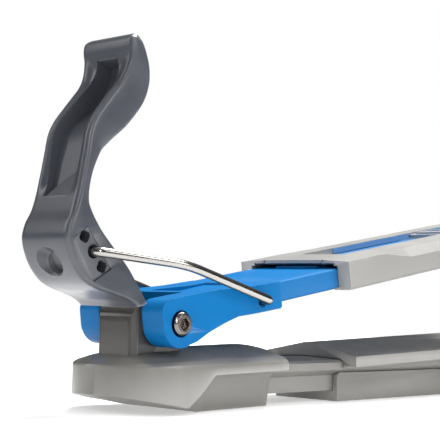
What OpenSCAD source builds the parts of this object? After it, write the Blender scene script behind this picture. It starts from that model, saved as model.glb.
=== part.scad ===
// Touring adapter for alpine ski bindings.
// The adapter's base stands in for a boot sole, and a hinged platform above it carries the boot.
// Frame: X runs from toe to heel, Z is up, and Z = 0 is the sole plane.
// The origin lies on the sole, straight below the toe pivot. Everything is symmetric about Y = 0.

/* [Base] */
// Half the width of the sole-shaped base
base_half = 34.5; // [33:0.5:36]
// X of the very tip of the toe
toe_tip_x = -27.6; // [-30:0.2:-26]
// Length of the rounded nose of the toe block
nose_len = 25.7; // [22:0.1:28]
// X of the rear face of the toe block
block_end_x = 71.3; // [68:0.1:75]
// X of the front face of the heel base
heel_front_x = 125; // [120:1:130]
// X of the end of the heel base
heel_end_x = 320; // [315:1:325]
// Thickness of the flange that a binding clamps
flange_t = 5.4; // [4.5:0.1:6]
// Rise of the crown above the flange edges
crown_rise = 6.4; // [5:0.1:7]

/* [Pivot] */
// Height of the toe pivot above the sole
pivot_z = 41.7; // [41:0.1:43]
// Radius of the pivot pin
pin_r = 4; // [3.5:0.1:4.5]
// Angle at which the arm is raised
arm_angle = 9.5; // [5:0.5:12]
// Half the width of the hinge post
post_half = 13; // [12:0.5:13.5]

/* [Arm and bar] */
// Half the width of the arm behind its ears
arm_half = 31.2; // [30.8:0.1:31.5]
// Half the width over the two ears
ear_half = 29.5; // [28.5:0.1:30]
// Distance from the pivot to the end of the arm
arm_end = 69.2; // [66:0.1:70]
// Half the width of the slide bar
bar_half = 30.3; // [29:0.1:30.5]
// Distance from the pivot to the rear end of the slide bar
bar_end = 245; // [235:1:245]

/* [Platform] */
// Distance from the pivot to the front of the cover
cover_start = 116; // [114:1:120]
// Half the width of the cover
cover_half = 38.5; // [38:0.1:39]
// Height of the cover's top above the pivot line
cover_top = 13.8; // [13.5:0.1:14.5]
// Distance from the pivot to the centre of the rounded heel end
heel_round_u = 296; // [296:1:300]

/* [Toe lever and bail] */
// Radius of the bail wire
wire_r = 2.25; // [2:0.05:2.4]
// Distance from the pivot to the bail holes, along the arm
bail_u = 55.3; // [54:0.1:56]
// X of the crossbar that carries the lever
crossbar_x = -44; // [-45:0.5:-43]
// Z of the crossbar that carries the lever
crossbar_z = 73.7; // [73:0.1:74]

/* [Hidden] */
$fn = 64;
gap = 0.4;          // sliding clearance on each side
fit = 0.05;         // radial running clearance of a shaft
tall = 200;         // longer than any cut
POST_BOLTS = [-9, 8];      // X of the two bolts under the post
RAIL_SCREWS = [34, 52];    // X of the rail's screws, in pairs
PLATE_SCREWS = [24, 52];   // X of the contact plate's screw recesses, in pairs
BAR_SCREWS = [48, 62];     // distance from the pivot to the bar's screws, in pairs
lock_x = 150;              // X of the screw that locks the sole length
plate_start = 16;          // X of the front edge of the contact plate
plate_end = 61;
plate_t = 2.9;
tongue_start = -2.5;       // the plate's narrow tongue reaches under the pivot
tongue_half = 5;

edge_z_toe = 22;    // flange top edge at the toe tip
edge_z_block = 24.1;
edge_z_heel = 24.3; // flange top edge at the front of the heel base
edge_slope = 0.033; // rise of the heel base's edges for each millimetre
nose_x = toe_tip_x + nose_len;
waist_front = 26;   // half-width of the toe block's waist, front
waist_rear = 20.5;
heel_waist = 21.7;
cove_r = 8;

post_front_x = -15.6;
post_top_z = 51.7;   // top of the post, just over its bushes
post_rear_x = 14.9;
ear_inner = 15.3;
ear_r = 11.4;

bail_w = 2.3;
head_r = 5.6;

rail_start_x = 24;
rail_end_x = 235;
cavity_end_x = 284;

slot_half = 15;
slot_start = 140;
slot_full = 165;
latch_start = 245;
latch_end = 261;
slot_end = 290;
heel_wire_drop = 30;   // how far the heel wire leans back and down on its stops

// ---------- helpers ----------

// Extrudes a Y-Z outline along X
module along_x(x0, x1) {
    translate([x0, 0, 0]) rotate([90, 0, 90]) linear_extrude(x1 - x0) children();
}

// Extrudes an X-Z outline along Y
module across(y0, y1) {
    translate([0, y1, 0]) rotate([90, 0, 0]) linear_extrude(y1 - y0) children();
}

module both_sides() {
    children();
    mirror([0, 1, 0]) children();
}

module on_arm() {
    translate([0, 0, pivot_z]) rotate([0, -arm_angle, 0]) children();
}

module cross_pin(x, z, r, y0, y1) {
    translate([x, y1, z]) rotate([90, 0, 0]) cylinder(r = r, h = y1 - y0);
}

module upright(x, y, z0, z1, r) {
    translate([x, y, z0]) cylinder(r = r, h = z1 - z0);
}

// Countersunk screw standing on its point, head at the bottom
module screw_up(x, y, z0, z1, r, head) {
    upright(x, y, z0, z1, r);
    upright(x, y, z0, z0 + 2.6, head);
}

// A bend at a corner, from a point before it to a point after it
function unit(v) = v / norm(v);
function bend(before, corner, after, reach) =
    let (a = corner + reach * unit(before - corner), b = corner + reach * unit(after - corner))
    [for (t = [0:1 / 6:1.001]) (1 - t) * (1 - t) * a + 2 * t * (1 - t) * corner + t * t * b];

// A wire's centre line: its first point, a bend at each [corner, reach], and its last point
function route(p) = [
    for (i = [0:len(p) - 1])
        each (i == 0 || i == len(p) - 1)
            ? [p[i][0]]
            : bend(p[i - 1][0], p[i][0], p[i + 1][0], p[i][1])
];

// Round tube along a centre line that never runs along Z
module tube(line, r) {
    sides = 16;
    last = len(line) - 1;
    rings = [
        for (i = [0:last])
            let (
                t = unit(line[min(i + 1, last)] - line[max(i - 1, 0)]),
                s = unit(cross(t, [0, 0, 1])),
                n = cross(s, t)
            )
            for (k = [0:sides - 1])
                line[i] + r * (cos(k * 360 / sides) * s + sin(k * 360 / sides) * n)
    ];
    walls = [
        for (i = [0:last - 1]) for (k = [0:sides - 1])
            [i * sides + k, i * sides + (k + 1) % sides,
             (i + 1) * sides + (k + 1) % sides, (i + 1) * sides + k]
    ];
    front = [for (k = [sides - 1:-1:0]) k];
    back = [for (k = [0:sides - 1]) last * sides + k];
    polyhedron(rings, concat([front, back], walls), convexity = 6);
}

function arc(cx, cy, r, from, to, steps) = [
    for (i = [0:steps])
        let (a = from + (to - from) * i / steps)
        [cx + r * cos(a), cy + r * sin(a)]
];

// Catmull-Rom smoothing of a closed outline
function blend(a, b, c, d, t) =
    0.5 * (2 * b + (c - a) * t + (2 * a - 5 * b + 4 * c - d) * t * t
        + (3 * b - a - 3 * c + d) * t * t * t);
function smooth(p, steps) = [
    for (i = [0:len(p) - 1]) for (k = [0:steps - 1])
        blend(p[(i + len(p) - 1) % len(p)], p[i], p[(i + 1) % len(p)],
            p[(i + 2) % len(p)], k / steps)
];

// ---------- base ----------

module toe_outline() {
    nose = [for (a = [-90:5:90]) [nose_x - nose_len * cos(a), -base_half * sin(a)]];
    polygon(concat(nose, [[block_end_x, -base_half], [block_end_x, base_half]]));
}

// Crowned slab whose flat underside is the flange's underside
module crowned_slab(x0, x1, z0, z1) {
    slope = atan((z1 - z0) / (x1 - x0));
    translate([x0, 0, z0]) rotate([0, -slope, 0]) along_x(-5, x1 - x0 + 5)
        polygon([
            [-base_half - 1, -flange_t], [base_half + 1, -flange_t],
            [base_half + 1, -0.2], [base_half - 1.5, 0.3],
            [2, crown_rise], [-2, crown_rise], [1.5 - base_half, 0.3], [-base_half - 1, -0.2]
        ]);
}

// Round cove between a waist wall and the flange above it, which may rise with X
module cove(x0, y0, x1, y1, z_top, r, rise = 0) {
    turn = atan2(y1 - y0, x1 - x0);
    len = norm([x1 - x0, y1 - y0]);
    both_sides() translate([x0, y0, z_top]) rotate([0, -rise, turn]) difference() {
        translate([0, -1, -r]) cube([len, r + 1, r + 0.6]);
        translate([-1, r, -r]) rotate([0, 90, 0]) cylinder(r = r, h = len + 2);
    }
}

module rail_section(grow) {
    polygon([
        [-18.5 - grow, 5.8 - grow], [18.5 + grow, 5.8 - grow], [18.5 + grow, 14 - grow],
        [25.5 + grow, 17.3 - grow], [25.5 + grow, 21 + grow], [23.5, 22.3 + grow],
        [0, 23.2 + grow], [-23.5, 22.3 + grow], [-25.5 - grow, 21 + grow],
        [-25.5 - grow, 17.3 - grow], [-18.5 - grow, 14 - grow]
    ]);
}

module toe_block() {
    color("silver") difference() {
        union() {
            intersection() {
                translate([0, 0, 5]) linear_extrude(40) toe_outline();
                crowned_slab(toe_tip_x, block_end_x, edge_z_toe, edge_z_block);
            }
            intersection() {
                linear_extrude(20) toe_outline();
                across(-tall, tall)
                    polygon([[-29, 8.6], [1, 2.8], [18.6, 17], [18.6, 20], [-29, 20]]);
            }
            intersection() {
                linear_extrude(20) polygon([
                    [-8, -30], [18, -waist_front], [block_end_x, -waist_rear],
                    [block_end_x, waist_rear], [18, waist_front], [-8, 30]
                ]);
                across(-tall, tall)
                    polygon([[-8, 4.6], [15.5, 0], [block_end_x, 0], [block_end_x, 20], [-8, 20]]);
            }
            intersection() {
                cove(10, waist_front, block_end_x + 5, waist_rear - 0.3, 18.2, cove_r);
                translate([10, -base_half, 0]) cube([block_end_x - 10, 2 * base_half, 21]);
            }
        }
        translate([post_front_x - 0.1, -post_half - 0.1, 12])
            cube([post_rear_x - post_front_x + 0.3, 2 * post_half + 0.2, 30]);
        along_x(rail_start_x - 0.2, block_end_x + 1) rail_section(0.1);
        translate([0, 0, -1]) linear_extrude(plate_t + 1.1) offset(0.1) plate_outline();
        for (x = POST_BOLTS) upright(x, 0, -1, 13, 2.6);
        for (x = RAIL_SCREWS) both_sides() upright(x, 10, -1, 7, 2.6);
    }
}

// Flat sliding plate let into the underside, the surface that rests on the ski binding
module plate_outline() {
    translate([plate_start, -15]) square([plate_end - plate_start, 30]);
    translate([tongue_start, -tongue_half]) square([plate_start + 1 - tongue_start, 2 * tongue_half]);
}

module toe_contact_plate() {
    color("dimgray") difference() {
        linear_extrude(plate_t) plate_outline();
        for (x = PLATE_SCREWS) both_sides() upright(x, 11, -1, 0.8, 1.5);
    }
}

module hinge_post() {
    color("dimgray") difference() {
        intersection() {
            across(-post_half, post_half) polygon(concat(
                [[post_front_x, 12], [post_rear_x, 12], [post_rear_x, 36]],
                arc(post_rear_x - 10, post_top_z - 10, 10, 0, 90, 18),
                arc(post_front_x + 10, post_top_z - 10, 10, 90, 180, 18)
            ));
            linear_extrude(tall) polygon(concat(
                [[20, post_half]],
                arc(post_front_x + 4, post_half - 4, 4, 90, 180, 9),
                arc(post_front_x + 4, 4 - post_half, 4, 180, 270, 9),
                [[20, -post_half]]
            ));
        }
        cross_pin(0, pivot_z, 6.02, -tall, tall);
        for (x = POST_BOLTS) upright(x, 0, 11, 28, 2.55);
    }
}

// Plain bearing bushes pressed into the post
module post_bushes() {
    color("goldenrod") both_sides() difference() {
        cross_pin(0, pivot_z, 6, 4, post_half);
        cross_pin(0, pivot_z, pin_r + fit, 0, 20);
    }
}

module post_bolts() {
    color("lightgray") for (x = POST_BOLTS) difference() {
        upright(x, 0, 6.4, 26, 2.5);
        translate([x, 0, 6]) cylinder(r = 1.6, h = 2.4, $fn = 6);
    }
}

module base_rail() {
    color("silver") difference() {
        along_x(rail_start_x, rail_end_x) rail_section(0);
        translate([99, -3.4, 0]) cube([61, 6.8, 13]);
        translate([97, -5.4, 10.6]) cube([65, 10.8, 4.8]);
        for (x = RAIL_SCREWS) both_sides() upright(x, 10, 0, 15, 2.02);
    }
}

module rail_screws() {
    color("lightgray") for (x = RAIL_SCREWS) both_sides() difference() {
        upright(x, 10, 3.2, 14, 2);
        translate([x, 10, 3]) cylinder(r = 1.2, h = 1.8, $fn = 6);
    }
}

module heel_outline(inset) {
    half = base_half - inset;
    round_len = 26;
    centre_x = heel_end_x - inset - round_len;
    heel = [for (a = [90:-5:-90]) [centre_x + round_len * cos(a), half * sin(a)]];
    polygon(concat([[heel_front_x, -half], [heel_front_x, half]], heel));
}

module heel_base() {
    edge_z_end = edge_z_heel + edge_slope * (heel_end_x - heel_front_x);
    color("silver") difference() {
        union() {
            intersection() {
                linear_extrude(45) heel_outline(0);
                crowned_slab(heel_front_x, heel_end_x, edge_z_heel, edge_z_end);
            }
            translate([heel_front_x, -heel_waist, 0]) cube([120, 2 * heel_waist, 23.4]);
            intersection() {
                linear_extrude(26) heel_outline(1.5);
                across(-tall, tall)
                    polygon([[228, 20], [243, 0], [316, 0], [400, 6], [400, 26], [222, 26]]);
            }
            // the cove is sunk a little into the waist
            cove(heel_front_x, heel_waist - 0.3, 236, heel_waist - 0.3, 18.7, cove_r, atan(edge_slope));
        }
        along_x(heel_front_x - 1, cavity_end_x) rail_section(gap);
        upright(lock_x, 0, -1, 8, 3.2);
        upright(lock_x, 0, -1, 3.2, 5.4);
        translate([293.9, -12.1, 31]) cube([16.2, 24.2, 10]);
    }
}

// Clamping screw that locks the sole length
module length_screw() {
    color("lightgray") difference() {
        union() {
            upright(lock_x, 0, 0.6, 15, 3);
            upright(lock_x, 0, 0.6, 3, 5.2);
        }
        translate([lock_x, 0, 0]) cylinder(r = 2.2, h = 2.4, $fn = 6);
    }
}

module clamp_nut() {
    color("gray") difference() {
        translate([lock_x - 5, -5, 11]) cube([10, 10, 4]);
        upright(lock_x, 0, 10, 16, 3.02);
    }
}

module landing_pad() {
    color("#222222") translate([294, -12, 31]) cube([16, 24, 8.8]);
}

// ---------- arm ----------

module arm_profile() {
    polygon(concat(
        [
            [5, 12.4], [28, 11.9], [47, 10.5], [arm_end, 9.9], [arm_end, -2.6], [68, -3.5],
            [52, -3.2], [38, -2.7], [31.5, -3.9], [19, -6.7], [9, -10.1]
        ],
        arc(0, 0, ear_r, -70, -180, 22),
        arc(-5.2, 6.4, 6, 178, 90, 16)
    ));
}

module toe_arm() {
    color("dodgerblue") on_arm() difference() {
        intersection() {
            across(-tall, tall) arm_profile();
            translate([0, 0, -50]) linear_extrude(100) polygon([
                [-20, -ear_half], [28, -ear_half], [46, -arm_half], [80, -arm_half],
                [80, arm_half], [46, arm_half], [28, ear_half], [-20, ear_half]
            ]);
        }
        translate([-20, -ear_inner, -30]) cube([36.6, 2 * ear_inner, 60]);
        cross_pin(0, 0, pin_r + 0.02, -tall, tall);
        both_sides() cross_pin(0, 0, head_r + 0.7, 26, tall);
        both_sides() cross_pin(bail_u, bail_w, wire_r + fit, 23.5, tall);
        both_sides() cross_pin(bail_u, bail_w, wire_r + 1, arm_half - 1.2, tall);
        translate([42, -22.1, -0.6]) cube([40, 44.2, 7.7]);
        for (u = BAR_SCREWS) both_sides() upright(u, 12, -8, 8.6, 2.1);
        for (u = BAR_SCREWS) both_sides() upright(u, 12, -8, -1.8, 3.8);
        across(-13, 13) polygon([[19, 20], [22, 9.6], [34, 8.6], [60, 9], [64, 20]]);
    }
}

module pivot_pin() {
    color("lightgray") on_arm() difference() {
        union() {
            cross_pin(0, 0, pin_r, -27, 24);
            translate([0, -26.4, 0]) rotate([90, 0, 0]) rotate_extrude()
                polygon([[0, -0.3], [head_r, -0.3], [head_r, 4.2], [4.4, 5.4], [0, 5.4]]);
        }
        translate([0, -28.6, 0]) rotate([90, 0, 0]) cylinder(r = 3, h = 5, $fn = 6);
        cross_pin(0, 0, 2.52, 10, 25);
    }
}

module pivot_screw() {
    color("lightgray") on_arm() difference() {
        union() {
            cross_pin(0, 0, 2.5, 11, 27);
            translate([0, 26.4, 0]) rotate([-90, 0, 0]) rotate_extrude()
                polygon([[0, -0.3], [head_r, -0.3], [head_r, 4.2], [4.4, 5.4], [0, 5.4]]);
        }
        translate([0, 28.6, 0]) rotate([-90, 0, 0]) cylinder(r = 3, h = 5, $fn = 6);
    }
}

module thrust_washers() {
    color("gray") on_arm() both_sides() difference() {
        cross_pin(0, 0, 9, post_half + 0.3, ear_inner - 0.1);
        cross_pin(0, 0, pin_r + 0.1, 0, 20);
    }
}

module slide_bar() {
    color("dodgerblue") on_arm() difference() {
        union() {
            along_x(arm_end + 0.2, bar_end) polygon([
                [-27, -1], [27, -1], [27, 0.4], [bar_half, 0.4], [bar_half, 9.2],
                [bar_half - 0.7, 9.9], [0.7 - bar_half, 9.9], [-bar_half, 9.2],
                [-bar_half, 0.4], [-27, 0.4]
            ]);
            along_x(118, bar_end) polygon([[-15, 9.5], [15, 9.5], [14, 11], [-14, 11]]);
            translate([42.2, -22, -0.5]) cube([28, 44, 7.5]);
        }
        translate([178, -4.5, 9.7]) cube([tall, 9, 5]);
        for (u = [180:6:240]) translate([u, -7, 9.7]) cube([3, 14, 5]);
        for (u = [84:26:230]) both_sides() translate([u, 2, -2]) cube([22, 21, 8]);
        for (u = BAR_SCREWS) both_sides() upright(u, 12, -3, 9, 1.95);
    }
}

module bar_screws() {
    color("lightgray") on_arm() for (u = BAR_SCREWS) both_sides() difference() {
        union() {
            upright(u, 12, -4, 6.6, 1.9);
            upright(u, 12, -4, -1.9, 3.6);
        }
        translate([u, 12, -4.2]) cylinder(r = 1.3, h = 1.6, $fn = 6);
    }
}

// ---------- platform ----------

module cover_outline() {
    translate([cover_start, -cover_half]) square([heel_round_u - cover_start, 2 * cover_half]);
    translate([heel_round_u, 0]) circle(r = cover_half, $fn = 96);
}

module platform_cover() {
    top_edge = cover_top - 0.2;
    color("gainsboro") on_arm() difference() {
        intersection() {
            translate([0, 0, -20]) linear_extrude(60) cover_outline();
            along_x(cover_start, heel_round_u + 40) polygon([
                [-cover_half, -1.4], [cover_half, -1.4], [cover_half, top_edge],
                [20, 14.6], [-20, 14.6], [-cover_half, top_edge]
            ]);
        }
        // channel for the bar, open at the bottom between two lips
        along_x(cover_start - 1, bar_end + 46.5) polygon([
            [-27.4, -5], [27.4, -5], [27.4, 0], [bar_half + gap, 0],
            [bar_half + gap, 11.4], [-bar_half - gap, 11.4], [-bar_half - gap, 0], [-27.4, 0]
        ]);
        // sight slot in the top, with a sloping start
        translate([slot_full, -slot_half, 11]) cube([slot_end - slot_full, 2 * slot_half, 10]);
        across(-slot_half, slot_half)
            polygon([[slot_start, 14.7], [slot_full + 1, 11.2], [slot_full + 1, 20], [slot_start, 20]]);
        // long shoulders that fade in along the upper side edges
        both_sides() translate([172, cover_half, 9]) rotate([-41, 0, 0])
            translate([0, -20, 0]) cube([tall, 40, 20]);
        both_sides() translate([172, cover_half, 9]) rotate([-41, 0, 0]) rotate([0, 8, 0])
            translate([-40, -20, 0]) cube([40.2, 40, 20]);
        // side pockets for the catch's wings and its leaf springs
        both_sides() translate([latch_start - 0.6, slot_half - 0.1, 11]) cube([48, 6.6, 2]);
        both_sides() upright(318, 12, -2, 30, 1.62);
        both_sides() upright(318, 12, -2, 0.8, 3.1);
    }
}

// Upright rim behind the boot's heel
module heel_stop() {
    rim_outer = cover_half - 0.3;
    color("dimgray") on_arm() difference() {
        union() {
            intersection() {
                translate([heel_round_u, 0, 14.65]) difference() {
                    cylinder(r = rim_outer, h = 11.4, $fn = 96);
                    translate([0, 0, 2.2]) cylinder(r = rim_outer - 4, h = 20, $fn = 96);
                }
                translate([311, -50, 0]) cube([50, 100, 50]);
            }
            both_sides() cross_pin(316, 20.2, 4.4, 24, 33.4);
            both_sides() translate([311.6, 24, 14.65]) cube([8.8, 9.4, 5]);
        }
        both_sides() cross_pin(316, 20.2, 2.05, 20, tall);
        both_sides() upright(318, 12, 10, 30, 1.62);
    }
}

module heel_stop_screws() {
    color("lightgray") on_arm() both_sides() difference() {
        union() {
            upright(318, 12, -1, 15.6, 1.6);
            upright(318, 12, -1, 0.6, 2.9);
        }
        translate([318, 12, -1.2]) cylinder(r = 1.2, h = 1.4, $fn = 6);
    }
}

// Sprung catch that sits in the slot and reaches down to the bar's rack groove
module length_latch() {
    color("gray") on_arm() difference() {
        union() {
            translate([latch_start, -slot_half + gap, 11.3])
                cube([latch_end - latch_start, 2 * slot_half - 2 * gap, 2.2]);
            translate([latch_start + 2, -11, 13.4]) cube([latch_end - latch_start - 4, 22, 1.4]);
            translate([latch_start + 1, -20, 11.3]) cube([latch_end - latch_start - 2, 40, 0.6]);
            translate([latch_start + 6, -4.1, 10.05]) cube([5, 8.2, 2]);
        }
        for (i = [0:2]) translate([latch_start + 4 + 3 * i, -9, 14.3]) cube([1.4, 18, 2]);
    }
}

// Pair of steel leaves that press the catch's wings down
module latch_spring() {
    color("lightgray") on_arm() both_sides() across(16, 20) polygon([
        [248, 11.95], [250, 11.95], [284, 12.5], [290, 12.5], [290, 12.9], [284, 12.9], [248, 12.3]
    ]);
}

module heel_wire() {
    leg = [
        [[316, 32, 0]], [[316, 37.4, 0], 5], [[344, 34.5, 0], 8], [[357, 16, 0], 9], [[359, 0, 0]]
    ];
    color("lightgray") on_arm() translate([316, 0, 20.2]) rotate([0, heel_wire_drop, 0])
        translate([-316, 0, 0]) both_sides() {
            tube(route(leg), 1.98);
            cross_pin(316, 0, 2, 25, 32.6);
        }
}

// ---------- toe bail and lever ----------

function arm_x(u, w) = u * cos(arm_angle) - w * sin(arm_angle);
function arm_z(u, w) = pivot_z + u * sin(arm_angle) + w * cos(arm_angle);

module toe_bail_wire() {
    end = [arm_x(bail_u, bail_w), 0, arm_z(bail_u, bail_w)];
    bar = [crossbar_x, 0, crossbar_z];
    leg = [
        [end + [0, 32.4, 0]], [end + [0, 37, 0], 4.5], [[-2.5, 35, 69], 9],
        [bar + [0.4, 19.6, 0], 3.2], [bar + [0, 16, 0]]
    ];
    color("lightgray") {
        both_sides() tube(route(leg), wire_r - 0.02);
        both_sides() cross_pin(end[0], end[2], wire_r, 24.2, 33);
        cross_pin(bar[0], bar[2], wire_r, -16.4, 16.4);
    }
}

// Side view of the lever, front edge downwards and back edge upwards
LEVER_SIDE = [
    [-21, 176.4], [-24.2, 174.8], [-24.8, 171], [-24.2, 165], [-26.4, 156.5], [-33.4, 147.5],
    [-44, 134.5], [-47, 128], [-48.6, 119], [-52.4, 100], [-54.6, 91], [-58, 86], [-59.2, 79],
    [-55.8, 69], [-49, 60.5], [-41.5, 57], [-31.5, 55], [-24.5, 52.4], [-19.4, 49.1],
    [-13.4, 51], [-18, 60.4], [-24, 69.2], [-36, 80.6], [-42.8, 89.6], [-45.2, 98],
    [-44, 107.5], [-38.4, 118.6], [-30.6, 126.6], [-21.2, 134.8], [-13, 145], [-10.8, 153],
    [-12, 160.4], [-15, 168], [-17.6, 174.4]
];

// Half-width of the lever, with height
LEVER_HALF = [
    [49, 21.5], [53, 21], [59, 18.4], [66, 17.5], [82, 17.4], [92, 16.5], [118, 16.2],
    [138, 15.6], [150, 15.8], [164, 18], [171, 18.4], [175, 16.5], [177, 12]
];

// Grip hollow in the lever's front
LEVER_HOLLOW = [
    [-60, 100], [-50.6, 100.5], [-47.6, 105], [-43.6, 115], [-38, 125.5], [-29, 136],
    [-20.6, 147], [-18, 155], [-20, 162.6], [-23, 165.4], [-60, 166]
];

SADDLE = [[-55.6, 79.6], [-47.6, 85], [-33.6, 66], [-43.6, 60.2]];

SPARE_HOLES = [[-49.2, 80.3], [-38.8, 67.1]];
SADDLE_KEY = [-49.4, 69.7];    // grub screws that key the insert to the lever

module toe_lever() {
    widths = [for (p = LEVER_HALF) [p[1], p[0]]];
    other = [for (i = [len(widths) - 1:-1:0]) [-widths[i][0], widths[i][1]]];
    color("slategray") difference() {
        intersection() {
            across(-tall, tall) polygon(smooth(LEVER_SIDE, 4));
            along_x(-100, 20) polygon(concat(widths, other));
        }
        across(-11, 11) polygon(LEVER_HOLLOW);
        across(-tall, tall) polygon(SADDLE);
        // dished hole low on the front
        translate([-57.8, 0, 65.2]) rotate([0, 69, 0]) {
            translate([0, 0, -14]) cylinder(r = 9.5, h = 14.6);
            translate([0, 0, 0.5]) cylinder(r1 = 9.5, r2 = 5, h = 5);
        }
        both_sides() cross_pin(SADDLE_KEY[0], SADDLE_KEY[1], 1.65, 9, 17.1);
    }
}

// Insert with a seat for the crossbar between two spare holes
module wire_saddle() {
    inset = 0.1;
    color("#303038") difference() {
        intersection() {
            translate([inset, 0, 0]) across(-17.2, 17.2) polygon(SADDLE);
            translate([-inset, 0, 0]) across(-17.2, 17.2) polygon(SADDLE);
        }
        cross_pin(crossbar_x, crossbar_z, wire_r + fit, -tall, tall);
        // mouths that clear the bends of the bail
        both_sides() cross_pin(crossbar_x, crossbar_z, wire_r + 0.9, 15.4, tall);
        for (p = SPARE_HOLES) cross_pin(p[0], p[1], 2.8, -tall, tall);
        both_sides() cross_pin(SADDLE_KEY[0], SADDLE_KEY[1], 1.65, 9, 17.1);
    }
}

module saddle_screws() {
    color("lightgray") both_sides() cross_pin(SADDLE_KEY[0], SADDLE_KEY[1], 1.6, 10, 16.6);
}

toe_block();
toe_contact_plate();
hinge_post();
post_bushes();
post_bolts();
base_rail();
rail_screws();
heel_base();
length_screw();
clamp_nut();
landing_pad();
toe_arm();
pivot_pin();
pivot_screw();
thrust_washers();
slide_bar();
bar_screws();
platform_cover();
heel_stop();
heel_stop_screws();
length_latch();
latch_spring();
heel_wire();
toe_bail_wire();
toe_lever();
wire_saddle();
saddle_screws();
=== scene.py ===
"""Looks for a ski-touring adapter: a hinged boot platform on a sole-shaped base.

Everything is in metres in the row frame: X runs from toe to heel, Z is up, and the origin lies
on the sole below the toe pivot. Lengths in the helpers below are given in millimetres.
"""

import math

import bmesh
import bpy
import numpy as np
from mathutils import Matrix, Vector


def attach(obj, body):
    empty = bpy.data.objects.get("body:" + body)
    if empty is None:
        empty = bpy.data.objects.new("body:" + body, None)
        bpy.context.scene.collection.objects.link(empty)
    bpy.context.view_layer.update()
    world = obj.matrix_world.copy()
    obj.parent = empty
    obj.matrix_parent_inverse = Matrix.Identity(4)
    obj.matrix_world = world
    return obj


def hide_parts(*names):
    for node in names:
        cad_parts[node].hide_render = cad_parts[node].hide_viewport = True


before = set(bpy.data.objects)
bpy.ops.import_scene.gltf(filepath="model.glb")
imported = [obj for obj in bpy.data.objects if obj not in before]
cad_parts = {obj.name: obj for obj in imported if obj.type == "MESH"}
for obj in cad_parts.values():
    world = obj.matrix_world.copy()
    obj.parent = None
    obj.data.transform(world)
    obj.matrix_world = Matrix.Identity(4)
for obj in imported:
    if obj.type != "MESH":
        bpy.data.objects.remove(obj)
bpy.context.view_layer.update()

MM = 0.001
PIVOT_Z = 41.7
ARM_ANGLE = math.radians(9.5)


def on_arm(u, y, w):
    """A point in arm coordinates (along the arm, across, up), in row-frame millimetres."""
    c, s = math.cos(ARM_ANGLE), math.sin(ARM_ANGLE)
    return (u * c - w * s, y, PIVOT_Z + u * s + w * c)


def srgb(r, g, b):
    """A colour given as it looks on a screen, 0 to 255, as linear light."""

    def linear(v):
        v /= 255
        return v / 12.92 if v <= 0.04045 else ((v + 0.055) / 1.055) ** 2.4

    return (linear(r), linear(g), linear(b), 1.0)


# ---------- materials ----------


class Shader:
    """A few shorthands for building a node material."""

    def __init__(self, name):
        self.material = bpy.data.materials.new(name)
        self.material.use_nodes = True
        self.tree = self.material.node_tree
        self.surface = self.tree.nodes["Principled BSDF"]
        self.place = self.add("ShaderNodeTexCoord").outputs["Object"]

    def add(self, kind, **settings):
        node = self.tree.nodes.new(kind)
        for key, value in settings.items():
            setattr(node, key, value)
        return node

    def link(self, a, b):
        self.tree.links.new(a, b)

    def noise(self, scale, detail=2.0, rough=0.5, stretch=(1, 1, 1)):
        mapping = self.add("ShaderNodeMapping")
        mapping.inputs["Scale"].default_value = stretch
        self.link(self.place, mapping.inputs["Vector"])
        node = self.add("ShaderNodeTexNoise")
        node.inputs["Scale"].default_value = scale
        node.inputs["Detail"].default_value = detail
        node.inputs["Roughness"].default_value = rough
        self.link(mapping.outputs["Vector"], node.inputs["Vector"])
        return node.outputs["Fac"]

    def ramp(self, value, stops):
        node = self.add("ShaderNodeValToRGB")
        elements = node.color_ramp.elements
        while len(elements) < len(stops):
            elements.new(0.5)
        for element, (position, colour) in zip(elements, stops):
            element.position = position
            element.color = colour if len(colour) == 4 else (*colour, 1)
        self.link(value, node.inputs["Fac"])
        return node.outputs["Color"]

    def span(self, value, low, high):
        node = self.add("ShaderNodeMapRange")
        node.inputs["From Min"].default_value = 0.3
        node.inputs["From Max"].default_value = 0.7
        node.inputs["To Min"].default_value = low
        node.inputs["To Max"].default_value = high
        self.link(value, node.inputs["Value"])
        return node.outputs["Result"]

    def mix(self, factor, a, b):
        node = self.add("ShaderNodeMix", data_type="RGBA")
        self.link(factor, node.inputs["Factor"])
        for value, socket in ((a, node.inputs["A"]), (b, node.inputs["B"])):
            if isinstance(value, tuple):
                socket.default_value = value
            else:
                self.link(value, socket)
        return node.outputs["Result"]

    def worn_edges(self, low=0.52, high=0.62):
        """White along raised edges."""
        pointy = self.add("ShaderNodeNewGeometry").outputs["Pointiness"]
        return self.ramp(pointy, [(low, (0, 0, 0)), (high, (1, 1, 1))])

    def bump(self, layers):
        """Stacks (height, depth in millimetres) layers of relief."""
        normal = None
        for height, depth in layers:
            node = self.add("ShaderNodeBump")
            node.inputs["Strength"].default_value = 1.0
            node.inputs["Distance"].default_value = depth * MM
            self.link(height, node.inputs["Height"])
            if normal:
                self.link(normal, node.inputs["Normal"])
            normal = node.outputs["Normal"]
        self.link(normal, self.surface.inputs["Normal"])


def moulded(name, colour, rough, grain=1800, relief=0.012, spread=0.06, worn=0.12, specular=0.5):
    """Moulded plastic: spark-eroded grain, faint flow marks and slightly polished edges."""
    s = Shader(name)
    dark = tuple(c * (1 - spread) for c in colour[:3]) + (1,)
    light = tuple(min(1, c * (1 + spread)) for c in colour[:3]) + (1,)
    flow = s.noise(28, 4, 0.6, (1, 1, 2.2))
    base = s.ramp(flow, [(0.3, dark), (0.7, light)])
    edge = tuple(c + (1 - c) * worn for c in colour[:3]) + (1,)
    s.link(s.mix(s.worn_edges(), base, edge), s.surface.inputs["Base Color"])
    s.link(s.span(s.noise(60, 3), rough - 0.05, rough + 0.05), s.surface.inputs["Roughness"])
    s.surface.inputs["Specular IOR Level"].default_value = specular
    fine = s.noise(grain, 2, 0.6)
    s.bump([(fine, relief), (s.noise(90, 2), relief * 2.5)])
    return s.material


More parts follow.
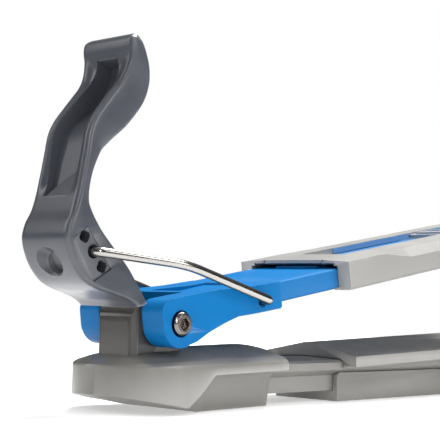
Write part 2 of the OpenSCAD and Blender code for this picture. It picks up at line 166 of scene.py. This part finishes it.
def metal(name, colour, rough, marks=900, relief=0.003):
    """Worked metal: fine marks and smudged gloss."""
    s = Shader(name)
    lines = s.noise(marks, 2, 0.6)
    tone = tuple(c * 0.86 for c in colour[:3]) + (1,)
    s.link(s.ramp(lines, [(0.35, tone), (0.65, colour)]), s.surface.inputs["Base Color"])
    s.link(s.span(s.noise(75, 3), rough * 0.75, rough * 1.3), s.surface.inputs["Roughness"])
    s.surface.inputs["Metallic"].default_value = 1.0
    s.bump([(lines, relief)])
    return s.material


BASE = moulded("base_plastic", srgb(116, 114, 109), 0.36, relief=0.006, spread=0.03)
# Painted shade: the hinge post gets a grey darker than the base's, standing in for the shade that
# falls on it.
POST_PAINTED_SHADE = moulded("post_plastic", srgb(60, 58, 55), 0.34, spread=0.05)
LEVER = moulded("lever_plastic", srgb(62, 65, 72), 0.33, spread=0.06, worn=0.25)
BLUE = moulded("blue_plastic", srgb(0, 100, 160), 0.40, spread=0.05, worn=0.06, specular=0.1)
COVER = moulded("cover_plastic", srgb(140, 139, 136), 0.36, relief=0.004, spread=0.02)
DARK = moulded("dark_plastic", srgb(60, 63, 70), 0.46, spread=0.08)
RUBBER = moulded("rubber", srgb(34, 34, 36), 0.72, grain=1100, relief=0.03, spread=0.15, worn=0.05)
STEEL = metal("steel", srgb(205, 202, 197), 0.22)
WIRE = metal("drawn_wire", srgb(160, 158, 154), 0.17, marks=2500, relief=0.0004)
PIN = metal("turned_pin", srgb(120, 114, 110), 0.2)
BRONZE = metal("bronze", srgb(170, 126, 74), 0.34)
LATCH = moulded("latch_plastic", srgb(140, 146, 156), 0.40, spread=0.04)
# Painted reflection: a grey-blue for the sight slot's walls, where the blue bar shows in them.
SLOT_REFLECTION_TINT = moulded("slot_reflection_paint", srgb(84, 132, 176), 0.42, spread=0.03, worn=0.05)

FINISH = {
    "base_plastic": BASE, "post_plastic": POST_PAINTED_SHADE, "lever_plastic": LEVER, "blue_plastic": BLUE,
    "cover_plastic": COVER, "dark_plastic": DARK, "rubber": RUBBER, "steel": STEEL,
    "bronze": BRONZE,
}

# ---------- mesh helpers ----------


def piece(name, bm, body, material, nodes, smooth=True):
    """Turns a bmesh in metres into a finished object that rides on a body."""
    bmesh.ops.recalc_face_normals(bm, faces=bm.faces)
    mesh = bpy.data.meshes.new(name)
    bm.to_mesh(mesh)
    bm.free()
    mesh.shade_smooth() if smooth else mesh.shade_flat()
    mesh.materials.append(material)
    obj = bpy.data.objects.new(name, mesh)
    bpy.context.scene.collection.objects.link(obj)
    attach(obj, body)
    if nodes:
        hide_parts(*nodes)
    return obj


def clean_solid(node):
    """The node's own shape with its triangles merged into whole faces, as a bmesh."""
    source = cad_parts[node].data
    bm = bmesh.new()
    for v in source.vertices:
        bm.verts.new(v.co)
    bm.verts.ensure_lookup_table()
    for polygon in source.polygons:
        try:
            bm.faces.new([bm.verts[i] for i in polygon.vertices])
        except ValueError:
            pass
    bmesh.ops.remove_doubles(bm, verts=bm.verts, dist=2e-6)
    bmesh.ops.dissolve_degenerate(bm, dist=1e-6, edges=bm.edges)
    bmesh.ops.dissolve_limit(
        bm, angle_limit=math.radians(0.6), verts=bm.verts, edges=bm.edges,
        use_dissolve_boundaries=False,
    )
    return bm


def round_edges(obj, width, segments=3, angle=28):
    """Rounds every edge sharper than the angle and evens out the shading beside it."""
    bevel = obj.modifiers.new("Rounded edges", "BEVEL")
    bevel.width = width * MM
    bevel.segments = segments
    bevel.limit_method = "ANGLE"
    bevel.angle_limit = math.radians(angle)
    bevel.use_clamp_overlap = True
    bevel.miter_outer = "MITER_ARC"
    weigh = obj.modifiers.new("Face weighted shading", "WEIGHTED_NORMAL")
    weigh.keep_sharp = False
    weigh.weight = 50
    return obj


def crisp_edges(obj, angle):
    """Smooth shading everywhere except across edges sharper than the angle."""
    bm = bmesh.new()
    bm.from_mesh(obj.data)
    for edge in bm.edges:
        edge.smooth = edge.calc_face_angle(0) < math.radians(angle)
    bm.to_mesh(obj.data)
    bm.free()
    return obj


def softened(node, width, body, slot, segments=3):
    """The node's own shape with rounded edges."""
    obj = piece("soft_" + node, clean_solid(node), body, FINISH[slot], [node])
    return round_edges(obj, width, segments)


def unit(v):
    return v / np.linalg.norm(v)


def bent_route(points, reaches, steps=10):
    """A wire's centre line: straight runs joined by a smooth bend at each inner point."""
    points = [np.array(p, float) for p in points]
    line = [points[0]]
    for before, corner, after, reach in zip(points, points[1:], points[2:], reaches):
        a = corner + reach * unit(before - corner)
        b = corner + reach * unit(after - corner)
        for k in range(steps + 1):
            t = k / steps
            line.append((1 - t) ** 2 * a + 2 * t * (1 - t) * corner + t * t * b)
    line.append(points[-1])
    return line


def tube(bm, line, radius, sides=28, rounded=0.35):
    """Sweeps a circle along a line of points in millimetres, with rounded ends."""
    line = [np.array(p, float) for p in line]
    tangents = [
        unit(line[min(i + 1, len(line) - 1)] - line[max(i - 1, 0)]) for i in range(len(line))
    ]
    stations = [(line[0], tangents[0], radius - rounded)]
    stations.append((line[0] + tangents[0] * rounded, tangents[0], radius))
    stations += [(p, t, radius) for p, t in zip(line[1:-1], tangents[1:-1])]
    stations.append((line[-1] - tangents[-1] * rounded, tangents[-1], radius))
    stations.append((line[-1], tangents[-1], radius - rounded))
    side = unit(np.cross(tangents[0], (0.3, 0.1, 1.0)))
    rings = []
    for centre, tangent, r in stations:
        side = unit(side - tangent * (side @ tangent))
        up = np.cross(side, tangent)
        turn = [2 * math.pi * k / sides for k in range(sides)]
        ring = [centre + r * (math.cos(a) * side + math.sin(a) * up) for a in turn]
        rings.append([bm.verts.new(p * MM) for p in ring])
    for a, b in zip(rings, rings[1:]):
        for k in range(sides):
            bm.faces.new((a[k], a[(k + 1) % sides], b[(k + 1) % sides], b[k]))
    bm.faces.new(rings[0][::-1])
    bm.faces.new(rings[-1])


def catmull(points, steps):
    """Smooth curve through the points, with a number of steps between each pair."""
    p = np.array(points, float)
    p = np.vstack([2 * p[0] - p[1], p, 2 * p[-1] - p[-2]])
    out = []
    for i in range(1, len(p) - 2):
        a, b, c, d = p[i - 1], p[i], p[i + 1], p[i + 2]
        for k in range(steps):
            t = k / steps
            out.append(
                0.5 * (2 * b + (c - a) * t + (2 * a - 5 * b + 4 * c - d) * t * t
                       + (3 * b - a - 3 * c + d) * t ** 3)
            )
    out.append(p[-2])
    return np.array(out)


def smoothstep(low, high, value):
    t = min(1.0, max(0.0, (value - low) / (high - low)))
    return t * t * (3 - 2 * t)


def cutter(name, bm, target):
    """Cuts a closed shape out of the target, and leaves nothing behind but the cut."""
    mesh = bpy.data.meshes.new(name)
    bmesh.ops.recalc_face_normals(bm, faces=bm.faces)
    bm.to_mesh(mesh)
    bm.free()
    tool = bpy.data.objects.new(name, mesh)
    bpy.context.scene.collection.objects.link(tool)
    cut = target.modifiers.new(name, "BOOLEAN")
    cut.operation = "DIFFERENCE"
    cut.solver = "EXACT"
    cut.object = tool
    bpy.context.view_layer.update()
    shaped = bpy.data.meshes.new_from_object(
        target.evaluated_get(bpy.context.evaluated_depsgraph_get())
    )
    target.modifiers.remove(cut)
    tidy = bmesh.new()
    tidy.from_mesh(shaped)
    bmesh.ops.remove_doubles(tidy, verts=tidy.verts, dist=0.03 * MM)
    bmesh.ops.dissolve_degenerate(tidy, dist=0.02 * MM, edges=tidy.edges)
    tidy.to_mesh(shaped)
    tidy.free()
    shaped.shade_smooth()
    target.data = shaped
    bpy.data.objects.remove(tool)


def revolved(bm, profile, origin, axis, sides=48):
    """Closed solid from (distance along axis, radius) steps, in millimetres."""
    axis = unit(np.array(axis, float))
    side = unit(np.cross(axis, (0.2, 1.0, 0.1)))
    up = np.cross(axis, side)
    rings = []
    for along, radius in profile:
        turn = [2 * math.pi * k / sides for k in range(sides)]
        rings.append([
            bm.verts.new((np.array(origin) + axis * along
                          + radius * (math.cos(a) * side + math.sin(a) * up)) * MM)
            for a in turn
        ])
    for a, b in zip(rings, rings[1:]):
        for k in range(sides):
            bm.faces.new((a[k], a[(k + 1) % sides], b[(k + 1) % sides], b[k]))
    bm.faces.new(rings[0][::-1])
    bm.faces.new(rings[-1])


# ---------- toe lever ----------

# Front x and z, back x and z, and half-width, from the lower lip to the top
LEVER_STATIONS = [
    (-19.4, 49.1, -13.4, 51.0, 21.3), (-24.5, 52.2, -15.6, 55.5, 20.6),
    (-32.0, 54.6, -18.6, 61.0, 19.2), (-41.0, 57.0, -22.4, 67.0, 18.2),
    (-49.0, 61.0, -27.4, 72.6, 17.6), (-55.6, 69.0, -32.0, 77.0, 17.5),
    (-59.0, 78.6, -37.0, 82.0, 17.4), (-57.8, 86.0, -40.6, 86.6, 17.1),
    (-54.7, 92.4, -43.4, 91.6, 16.6), (-52.3, 100.5, -45.1, 99.5, 16.4),
    (-50.3, 110.0, -43.4, 109.0, 16.3), (-48.4, 120.0, -38.8, 117.8, 16.2),
    (-46.8, 128.4, -34.2, 123.2, 16.0), (-43.6, 135.0, -29.4, 127.8, 15.8),
    (-38.6, 141.4, -24.0, 132.2, 15.6), (-33.2, 147.8, -18.0, 138.6, 15.6),
    (-29.2, 152.6, -13.0, 145.6, 15.8), (-26.2, 158.0, -10.9, 153.6, 16.6),
    (-24.4, 165.0, -12.2, 161.0, 17.9), (-24.7, 170.8, -14.8, 167.6, 18.4),
    (-24.2, 174.4, -16.6, 172.2, 17.8), (-21.4, 176.3, -17.8, 174.4, 16.4),
]
LEVER_STEPS = 7

# Front height, hollow half-width, and depth of its floor below the front
HOLLOW_STATIONS = [
    (98.9, 8.6, 4.4), (106.0, 9.2, 4.7), (113.0, 9.8, 5.0), (121.0, 10.2, 5.5),
    (129.0, 10.4, 6.3), (137.0, 10.2, 7.4), (145.0, 9.4, 9.0), (153.0, 8.4, 10.6),
    (160.0, 7.4, 10.4), (165.4, 6.4, 9.0),
]
FACET_TOP = 113.0

# Side view of the insert, its spare holes and the bail's crossbar through it
SADDLE = [(-55.6, 79.6), (-47.6, 85.0), (-33.6, 66.0), (-43.6, 60.2)]
SPARE_HOLES = [(-49.2, 80.3), (-38.8, 67.1)]
CROSSBAR = np.array((-44.0, 0.0, 73.7))
SADDLE_HALF = 17.0
SEAT_RADIUS = 2.3
BEYOND = 40  # longer than any cut


def lever_outline(half, thick, height):
    """One ring of the lever as (across, depth below the front) pairs in millimetres."""
    front_edge = min(2.4, 0.34 * thick)
    belly = smoothstep(90, 100, height) * (1 - smoothstep(122, 138, height))
    back_edge = min(2.6 + 2.2 * belly, 0.44 * thick)
    back_pull = back_edge * (0.9 + 0.25 * belly)
    rim = 1.5 * smoothstep(98, 106, height) * (1 - smoothstep(160, 167, height))
    flat = half - front_edge
    across, corner, turn = 26, 5, 6
    right = []
    for k in range(1, corner + 1):
        a = math.pi / 2 * k / corner
        right.append((flat + front_edge * math.sin(a), front_edge * (1 - math.cos(a))))
    for k in range(1, turn + 1):
        a = math.pi / 2 * k / turn
        right.append((
            half - back_pull * (1 - math.cos(a)), thick - back_edge + back_edge * math.sin(a)
        ))
    front = []
    for k in range(across + 1):
        y = -flat + 2 * flat * k / across
        front.append((y, rim * smoothstep(0, 5.5, flat - abs(y))))
    inner = half - back_pull
    back = [(inner * (1 - 2 * k / 8), thick) for k in range(1, 8)]
    left = [(-y, depth) for y, depth in right[::-1]]
    return front + right + back + left


def prism(outline, low, high):
    """Closed solid with an X-Z outline in millimetres, from one side to the other."""
    bm = bmesh.new()
    ends = [
        [bm.verts.new((x * MM, y * MM, z * MM)) for x, z in outline] for y in (low, high)
    ]
    n = len(outline)
    bm.faces.new(ends[0])
    bm.faces.new(ends[1][::-1])
    for k in range(n):
        bm.faces.new((ends[0][k], ends[0][(k + 1) % n], ends[1][(k + 1) % n], ends[1][k]))
    return bm


def skin(rings):
    """Closed solid through rings of equal length, given in millimetres."""
    bm = bmesh.new()
    loops = [[bm.verts.new(np.array(p) * MM) for p in ring] for ring in rings]
    n = len(loops[0])
    for a, b in zip(loops, loops[1:]):
        for k in range(n):
            bm.faces.new((a[k], a[(k + 1) % n], b[(k + 1) % n], b[k]))
    bm.faces.new(loops[0][::-1])
    bm.faces.new(loops[-1])
    return bm


def lever_rows():
    for row in catmull(LEVER_STATIONS, LEVER_STEPS):
        front, back = row[0:2], row[2:4]
        thick = np.linalg.norm(back - front)
        yield front, (back - front) / thick, thick, row[4]


def grip_hollow():
    """The hollow in the lever's front, with a slanting facet at its lower end."""
    stations = catmull(HOLLOW_STATIONS, 6)
    rows = list(lever_rows())
    heights = [front[1] for front, _, _, _ in rows]
    rings = []
    for height, wide, deep in stations:
        k = int(np.argmin([abs(h - height) for h in heights]))
        k = min(max(k, 1), len(rows) - 2)
        if heights[k] > height:
            k -= 1
        t = (height - heights[k]) / (heights[k + 1] - heights[k])
        front = rows[k][0] * (1 - t) + rows[k + 1][0] * t
        inward = unit(rows[k][1] * (1 - t) + rows[k + 1][1] * t)
        rise = min(1.0, (height - HOLLOW_STATIONS[0][0]) / (FACET_TOP - HOLLOW_STATIONS[0][0]))
        facet = 0.6 + (deep - 0.6) * rise ** 1.15
        crest = wide - 0.5 - (2 * wide - 1.0) * rise
        section = [
            (wide + 1.4, -4.0), (wide, deep), (crest + 0.12, deep),
            (crest - 0.12, facet), (-wide, facet), (-wide - 1.4, -4.0),
        ]
        rings.append([
            (front[0] + inward[0] * d, y, front[1] + inward[1] * d) for y, d in section
        ])
    return skin(rings)


def build_lever():
    rings = []
    for front, inward, thick, half in lever_rows():
        ring = lever_outline(half, thick, front[1])
        rings.append([
            (front[0] + inward[0] * d, y, front[1] + inward[1] * d) for y, d in ring
        ])
    lever = piece("toe_lever_body", skin(rings), "lever", LEVER, ["toe_lever"])
    cutter("hollow", grip_hollow(), lever)
    dish = bmesh.new()
    revolved(
        dish,
        [(-14, 10.6), (0.2, 9.7), (1.6, 9.2), (3.4, 8.0), (5.0, 6.4), (6.2, 5.2), (13.0, 4.9)],
        (-57.4, 0, 66.4), (0.95, 0, 0.31),
    )
    cutter("dish", dish, lever)
    cutter("bed", prism(SADDLE, -30, 30), lever)
    return crisp_edges(lever, 34)


def build_saddle():
    """Insert with square-cornered spare holes and the seat of the crossbar."""
    centre = np.mean(np.array(SADDLE), axis=0)
    outline = [tuple(centre + (np.array(p) - centre) * 0.975) for p in SADDLE]
    saddle = piece(
        "wire_saddle_insert", prism(outline, -SADDLE_HALF, SADDLE_HALF), "lever", DARK,
        ["wire_saddle"],
    )
    for x, z in SPARE_HOLES:
        spots = [
            (x + 3.1 * math.cos(a), z + 3.1 * math.sin(a))
            for a in [math.radians(v) for v in (8, 36, 98, 126, 188, 216, 278, 306)]
        ]
        cutter("spare_hole", prism(spots, -BEYOND, BEYOND), saddle)
    seat = bmesh.new()
    revolved(seat, [(-BEYOND, SEAT_RADIUS), (BEYOND, SEAT_RADIUS)], CROSSBAR, (0, 1, 0))
    cutter("seat", seat, saddle)
    for side in (-1, 1):
        mouth = bmesh.new()
        revolved(mouth, [(15.2, 2.5), (16.4, 3.2), (30, 3.2)], CROSSBAR, (0, side, 0))
        cutter("mouth", mouth, saddle)
    return round_edges(saddle, 0.25, 2, 32)


build_lever()
build_saddle()
softened("saddle_screws", 0.2, "lever", "steel", segments=2)

# ---------- bails ----------

BAIL_END = np.array(on_arm(55.3, 0, 2.3))
HEEL_HINGE_U, HEEL_HINGE_W = 316, 20.2
HEEL_LEAN = math.radians(30)


def mirrored(line):
    return [p * np.array((1, -1, 1)) for p in line]


def build_bail():
    side = bent_route(
        [BAIL_END + (0, 24.4, 0), BAIL_END + (0, 37, 0), (-2.5, 35, 69),
         CROSSBAR + (0.4, 19.6, 0), CROSSBAR],
        [4.5, 9, 3.2],
    )
    line = side + mirrored(side)[::-1][1:]
    bm = bmesh.new()
    tube(bm, line, 2.23)
    return piece("toe_bail_loop", bm, "toe_bail", WIRE, ["toe_bail_wire"])


def build_heel_bail():
    c, s = math.cos(HEEL_LEAN), math.sin(HEEL_LEAN)
    side = bent_route(
        [(0, 25.2, 0), (0, 37.4, 0), (28, 34.5, 0), (41, 16, 0), (43, 0, 0)], [5, 8, 9]
    )
    line = []
    for p in side:
        u, w = HEEL_HINGE_U + p[0] * c, HEEL_HINGE_W - p[0] * s
        line.append(np.array(on_arm(u, p[1], w)))
    line = line + mirrored(line)[::-1][1:]
    bm = bmesh.new()
    tube(bm, line, 1.98)
    return piece("heel_bail_loop", bm, "heel_bail", WIRE, ["heel_wire"])


build_bail()
build_heel_bail()

# ---------- base ----------

# Toe block, in millimetres
BLOCK_HALF = 34.5
NOSE_END, NOSE_LENGTH = -1.9, 25.7
BLOCK_START, BLOCK_END = -27.6, 71.3
FLANGE = 5.4
RIM_HEIGHT, RIM_RISE = 22, 0.0212  # top of the rim at the nose, and its slope towards the heel
CROWN_HEIGHT = 6.4
CREASE_START, CREASE_END = 1, 18.6  # the flange's lower edge climbs between these
WAIST_START, WAIST_TURN = -8, 18
COVE_RADIUS = 7.5
CROWN_STEPS = (0.0, 0.2, 0.4, 0.55, 0.7, 0.8, 0.9, 0.97)
RIM_STEPS = 6


def between(x, x0, x1, v0, v1):
    """Straight line from v0 at x0 to v1 at x1, held level beyond them."""
    t = min(1.0, max(0.0, (x - x0) / (x1 - x0)))
    return v0 + t * (v1 - v0)


def block_section(x):
    """Right half of the toe block's cross-section at x, as (across, height) in millimetres."""
    reach = min(1.0, max(0.0, (NOSE_END - x) / NOSE_LENGTH))
    half = BLOCK_HALF * math.sqrt(1 - reach * reach)
    edge = RIM_HEIGHT + (x - BLOCK_START) * RIM_RISE
    under = edge - FLANGE
    # the nose's underside slopes down to the sole
    bottom = max(0.05, 8.6 - (x + 29) * 0.1935)
    lip = min(under, between(x, CREASE_START, CREASE_END, bottom, under))
    if x > WAIST_TURN:
        waist = between(x, WAIST_TURN, BLOCK_END, 26.6, 21.4)
    else:
        waist = between(x, WAIST_START, WAIST_TURN, 30.2, 26.6)
    waist = min(waist, 0.86 * half)
    soft = min(1.9, 0.3 * half)
    points = []
    for t in CROWN_STEPS:
        y = t * (half - soft)
        away = math.hypot(reach, y / BLOCK_HALF)
        points.append((y, edge + CROWN_HEIGHT * (1 - away ** 1.9)))
    top = edge + 0.2
    for k in range(RIM_STEPS):
        a = math.pi / 2 * k / (RIM_STEPS - 1)
        points.append((half - soft + soft * math.sin(a), top - soft + soft * math.cos(a)))
    low = min(0.5, 0.3 * half)
    for k in range(4):
        a = math.pi / 2 * k / 3
        points.append((half - low + low * math.cos(a), lip + low - low * math.sin(a)))
    bend = max(0.02, min(COVE_RADIUS, 0.8 * (lip - bottom), half - low - waist - 0.3))
    for k in range(8):
        a = math.pi / 2 * k / 7
        # each step drops a hair, so no two points meet where there is no cove
        drop = bend * (1 - math.cos(a)) + 0.005 * k
        points.append((waist + bend * (1 - math.sin(a)), lip - drop))
    # the waist leans in towards the sole
    draft = between(x, CREASE_START, 20, 0.1, 1.6)
    low_wall = max(bottom + 0.01, bottom + 0.25 * (lip - bottom - bend))
    points.append((waist - 0.75 * draft, low_wall))
    points.append((waist - draft, bottom + min(0.4, 0.2 * (lip - bottom))))
    points.append((waist - draft - 0.5, bottom - 0.02))
    return points


def build_toe_block():
    """Toe half of the sole: rounded flange, crease behind the nose and a coved waist."""
    stations = [NOSE_END - NOSE_LENGTH * math.cos(math.radians(a)) for a in range(2, 90, 4)]
    stations += [NOSE_END + 1.4 * k for k in range(16)]
    stations += [22, 27, 34, 42, 50, 58, 65, 70.4, BLOCK_END]
    rings = []
    upper = len(CROWN_STEPS) + RIM_STEPS
    for x in stations:
        inset = 0.5 if x == BLOCK_END else 0.0  # softens the rear edge
        right = [
            (max(0.0, y - inset), z - inset if k < upper else z)
            for k, (y, z) in enumerate(block_section(x))
        ]
        ring = right + [(-y, z) for y, z in right[::-1][:-1]]
        rings.append([(x, y, z) for y, z in ring])
    # a narrow first ring closes the nose
    rings.insert(0, [(x - 0.01, 0.05 * y, z) for x, y, z in rings[0]])
    return piece(
        "toe_block_body", skin(rings), "toe_base", BASE, ["toe_block"]
    )


build_toe_block()
plate = softened("toe_contact_plate", 0.3, "toe_base", "base_plastic")
# nothing of the plate shows under the nose
cutter("tongue", skin([
    [(x, -6, -1), (x, 6, -1), (x, 6, 4), (x, -6, 4)] for x in (-5, 15.9)
]), plate)
softened("hinge_post", 0.7, "toe_base", "post_plastic")
softened("post_bushes", 0.15, "toe_base", "bronze", 2)
softened("post_bolts", 0.2, "toe_base", "steel", 2)
softened("base_rail", 0.8, "toe_base", "base_plastic")
softened("rail_screws", 0.2, "toe_base", "steel", 2)
softened("heel_base", 0.8, "heel_base_body", "base_plastic")
softened("length_screw", 0.3, "heel_base_body", "steel", 2)
softened("clamp_nut", 0.3, "heel_base_body", "steel", 2)
softened("landing_pad", 1.0, "heel_base_body", "rubber")

# ---------- arm and platform ----------

softened("toe_arm", 1.3, "arm", "blue_plastic", 4)
for pin in ("pivot_pin", "pivot_screw"):
    softened(pin, 0.5, "arm", "steel", 2).data.materials[0] = PIN
softened("thrust_washers", 0.15, "arm", "bronze", 2)
softened("slide_bar", 0.4, "arm", "blue_plastic", 2)
softened("bar_screws", 0.2, "arm", "steel", 2)


def arm_box(u_range, y_range, w_range):
    """Closed box in arm coordinates, in millimetres."""
    corners = [
        [on_arm(u, y, w) for u, w in (
            (u_range[0], w_range[0]), (u_range[1], w_range[0]),
            (u_range[1], w_range[1]), (u_range[0], w_range[1]),
        )]
        for y in y_range
    ]
    return skin(corners)


def arm_prism(outline, low, high):
    """Closed solid with a (u, w) outline in millimetres, from one side to the other."""
    return prism([on_arm(u, 0, w)[::2] for u, w in outline], low, high)


def build_cover():
    """The platform's cover, with a thinned front edge and a line along its lips."""
    cover = piece(
        "platform_cover_shell", clean_solid("platform_cover"), "platform", COVER,
        ["platform_cover"],
    )
    # the roof's underside rises towards the front edge
    cutter("roof_chamfer", arm_prism([(110, 10.9), (121, 10.9), (110, 15.4)], -28.4, 28.4), cover)
    # small notches in the front edge of the roof
    for y in (-20.5, 20.5):
        cutter("notch", arm_box((115, 116.9), (y - 1.1, y + 1.1), (11, 16)), cover)
    # shadow line above the lower lips
    for side in (-1, 1):
        near, far = sorted((side * 37.9, side * 40))
        cutter("lip_line", arm_box((110, 297), (near, far), (-2, 0.0)), cover)
    return round_edges(cover, 0.5, 3, 28)


def build_painted_slot_reflections():
    """Grey-blue strips on the walls of the sight slot, before and behind the catch: a painted
    reflection of the blue bar on the cover's grey walls.
    """
    bm = bmesh.new()
    for low, high in ((169, 244), (263, 289)):
        for side in (-1, 1):
            near, far = sorted((side * 14.55, side * 15.0))
            part = arm_box((low, high), (near, far), (11.3, 14.3))
            mesh = bpy.data.meshes.new("strip")
            part.to_mesh(mesh)
            part.free()
            bm.from_mesh(mesh)
            bpy.data.meshes.remove(mesh)
    return piece("painted_slot_reflections", bm, "platform", SLOT_REFLECTION_TINT, [], smooth=False)


build_cover()
build_painted_slot_reflections()
softened("heel_stop", 0.8, "platform", "dark_plastic")
softened("heel_stop_screws", 0.2, "platform", "steel", 2)
softened("latch_spring", 0.08, "platform", "steel", 1)
latch = softened("length_latch", 0.3, "latch", "cover_plastic", 2)
latch.data.materials[0] = LATCH

# ---------- stage, light and camera ----------


FLOOR_RADIUS = 1.3


def add_floor():
    """Pale matt disc that glows, more strongly towards its rim, where it turns plain white:
    painted light, which also lights the pieces from below.
    """
    bm = bmesh.new()
    bmesh.ops.create_circle(bm, cap_ends=True, segments=64, radius=FLOOR_RADIUS)
    mesh = bpy.data.meshes.new("floor")
    bm.to_mesh(mesh)
    bm.free()
    floor = bpy.data.objects.new("floor", mesh)
    floor.location = (0, 0, -0.0004)
    bpy.context.scene.collection.objects.link(floor)
    s = Shader("pale_floor")
    s.surface.inputs["Base Color"].default_value = (0.86, 0.86, 0.86, 1)
    s.surface.inputs["Roughness"].default_value = 0.9
    s.surface.inputs["Specular IOR Level"].default_value = 0.1
    s.surface.inputs["Emission Color"].default_value = (1, 1, 1, 1)
    # Painted light: the floor's glow is faint near the pieces and grows further out.
    away = s.add("ShaderNodeVectorMath", operation="LENGTH")
    s.link(s.place, away.inputs[0])
    glow = s.add("ShaderNodeMapRange")
    glow.inputs["From Min"].default_value = 0.35
    glow.inputs["From Max"].default_value = 1.0
    glow.inputs["To Min"].default_value = 0.42
    glow.inputs["To Max"].default_value = 0.95
    s.link(away.outputs["Value"], glow.inputs["Value"])
    s.link(glow.outputs["Result"], s.surface.inputs["Emission Strength"])
    material = s.material
    mesh.materials.append(material)


def add_softbox(name, place, target, size, power):
    light = bpy.data.lights.new(name, "AREA")
    light.shape = "RECTANGLE"
    light.size, light.size_y = size
    light.energy = power
    obj = bpy.data.objects.new(name, light)
    obj.location = place
    aim = Vector(target) - Vector(place)
    obj.rotation_euler = aim.to_track_quat("-Z", "Y").to_euler()
    bpy.context.scene.collection.objects.link(obj)


def add_world():
    """White to the camera; to everything else a studio that is bright above and dim level."""
    world = bpy.data.worlds.new("studio")
    world.use_nodes = True
    tree = world.node_tree
    background = tree.nodes["Background"]
    place = tree.nodes.new("ShaderNodeTexCoord")
    split = tree.nodes.new("ShaderNodeSeparateXYZ")
    height = tree.nodes.new("ShaderNodeValToRGB")
    stops = [(0.0, 0.36), (0.46, 0.16), (0.51, 0.025), (0.64, 0.05), (0.8, 0.2), (1.0, 0.36)]
    while len(height.color_ramp.elements) < len(stops):
        height.color_ramp.elements.new(0.5)
    for element, (position, level) in zip(height.color_ramp.elements, stops):
        element.position = position
        element.color = (level, level, level * 1.02, 1)
    scale = tree.nodes.new("ShaderNodeMapRange")
    scale.inputs["From Min"].default_value = -1
    path = tree.nodes.new("ShaderNodeLightPath")
    mix = tree.nodes.new("ShaderNodeMix")
    mix.data_type = "RGBA"
    mix.inputs["B"].default_value = (1, 1, 1, 1)
    tree.links.new(place.outputs["Generated"], split.inputs["Vector"])
    tree.links.new(split.outputs["Z"], scale.inputs["Value"])
    tree.links.new(scale.outputs["Result"], height.inputs["Fac"])
    tree.links.new(height.outputs["Color"], mix.inputs["A"])
    tree.links.new(path.outputs["Is Camera Ray"], mix.inputs["Factor"])
    tree.links.new(mix.outputs["Result"], background.inputs["Color"])
    background.inputs["Strength"].default_value = 1.0
    bpy.context.scene.world = world


def add_camera():
    azimuth, elevation, roll = map(math.radians, (-45.892, -3.295, 1.240))
    back = Vector((
        math.sin(azimuth) * math.cos(elevation),
        -math.cos(azimuth) * math.cos(elevation),
        math.sin(elevation),
    ))
    forward = -back
    right = forward.cross(Vector((0, 0, 1))).normalized()
    up = right.cross(forward)
    turned_right = math.cos(roll) * right + math.sin(roll) * up
    turned_up = -math.sin(roll) * right + math.cos(roll) * up
    data = bpy.data.cameras.new("camera")
    data.sensor_width = 36
    data.lens = 106.35
    data.clip_start, data.clip_end = 0.01, 50
    camera = bpy.data.objects.new("camera", data)
    turn = Matrix((turned_right, turned_up, back)).transposed()
    place = Vector((54.61, 0, 93.82)) * MM + back * 665.98 * MM
    camera.matrix_world = Matrix.Translation(place) @ turn.to_4x4()
    bpy.context.scene.collection.objects.link(camera)
    bpy.context.scene.camera = camera


add_floor()
add_world()
add_softbox("key", (0.30, -1.0, 0.62), (0.03, 0, 0.07), (0.45, 0.7), 5.0)
add_softbox("top", (0.42, 0.05, 1.05), (0.12, 0, 0.05), (0.6, 0.6), 26)
add_softbox("front", (-0.62, -0.72, 0.5), (0, 0, 0.08), (0.07, 0.7), 3.2)
add_softbox("rim", (-0.8, 0.8, 0.8), (0, 0, 0.1), (0.2, 0.9), 4)
add_camera()
bpy.context.scene.view_settings.view_transform = "Standard"
